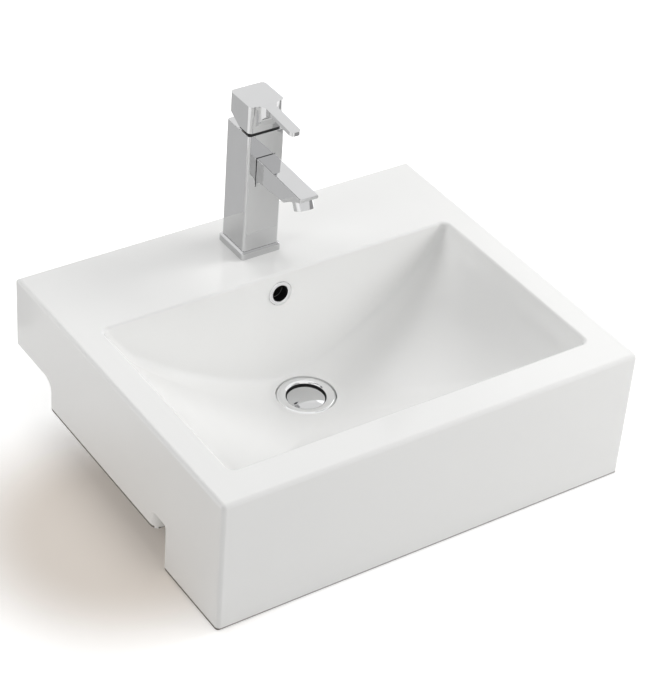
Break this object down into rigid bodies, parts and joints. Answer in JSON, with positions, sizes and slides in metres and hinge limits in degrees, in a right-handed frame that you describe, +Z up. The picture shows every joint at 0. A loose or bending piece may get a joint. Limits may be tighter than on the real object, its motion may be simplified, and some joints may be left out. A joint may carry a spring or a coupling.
{
  "type": "semi-recessed washbasin with mixer tap",
  "caption": "Rectangular white ceramic basin that half sits in a counter, with a square single-lever chrome mixer, an overflow ring and a push-open waste.",
  "frame": {"origin": "middle of the rear rest ledge under the rear skirt, on the plane of the counter that the basin sits on", "axes": "+X to the user's right along the width, -Y to the front and the user, +Z up"},
  "size_m": [0.5, 0.42, 0.39],
  "materials": {
    "glazed_white": "glossy white sanitary glaze",
    "chrome": "polished chrome plate on brass",
    "brass": "plain machined brass",
    "steel": "zinc plated steel",
    "rubber": "black sealing rubber",
    "white_rubber": "pale silicone rubber",
    "grey_plastic": "glass filled cartridge plastic",
    "black_plastic": "black acetal",
    "disc_ceramic": "ground alumina"
  },
  "bodies": {
    "basin": {"basin_body": "glazed_white", "overflow_ring": "chrome", "waste_body": "chrome", "waste_gasket": "white_rubber", "waste_cone_washer": "rubber", "waste_slip_washer": "grey_plastic", "waste_locknut": "brass", "plug_click_cell": "grey_plastic", "plug_spring": "steel", "tap_body": "chrome", "tap_base_plate": "chrome", "tap_base_seal": "rubber", "mounting_stud": "steel", "horseshoe_gasket": "rubber", "horseshoe_plate": "steel", "stud_nut": "brass", "aerator_housing": "chrome", "aerator_insert": "black_plastic", "aerator_washer": "rubber", "cartridge_seal": "rubber", "cartridge_base": "grey_plastic", "cartridge_housing": "grey_plastic", "fixed_disc": "disc_ceramic", "cartridge_nut": "brass", "handle_glide_ring": "black_plastic"},
    "rotor": {"cartridge_rotor": "grey_plastic", "stem_pin": "steel"},
    "handle": {"handle": "chrome", "cartridge_stem": "steel", "handle_grub_screw": "steel", "grub_screw_cover": "chrome"},
    "disc": {"moving_disc": "disc_ceramic"},
    "plug": {"plug_cap": "chrome", "plug_seal": "rubber", "plug_rod": "brass"}
  },
  "joints": [
    {"name": "handle_swivel", "type": "hinge", "parent": "basin", "child": "rotor", "pos_m": [0, -0.054, 0.228], "axis": [0, 0, 1], "range_deg": [-45, 45]},
    {"name": "handle_lift", "type": "hinge", "parent": "rotor", "child": "handle", "pos_m": [0, -0.054, 0.228], "axis": [-1, 0, 0], "range_deg": [0, 25]},
    {"name": "disc_slide", "type": "slide", "parent": "rotor", "child": "disc", "axis": [0, -1, 0], "range_m": [0, 0.00686]},
    {"name": "plug_lift", "type": "slide", "parent": "basin", "child": "plug", "axis": [0, 0, 1], "range_m": [0, 0.009], "deforming": ["plug_spring"]}
  ],
  "couplings": [
    {"joint": "disc_slide", "follows": "handle_lift", "m_per_rad": 0.0157}
  ]
}
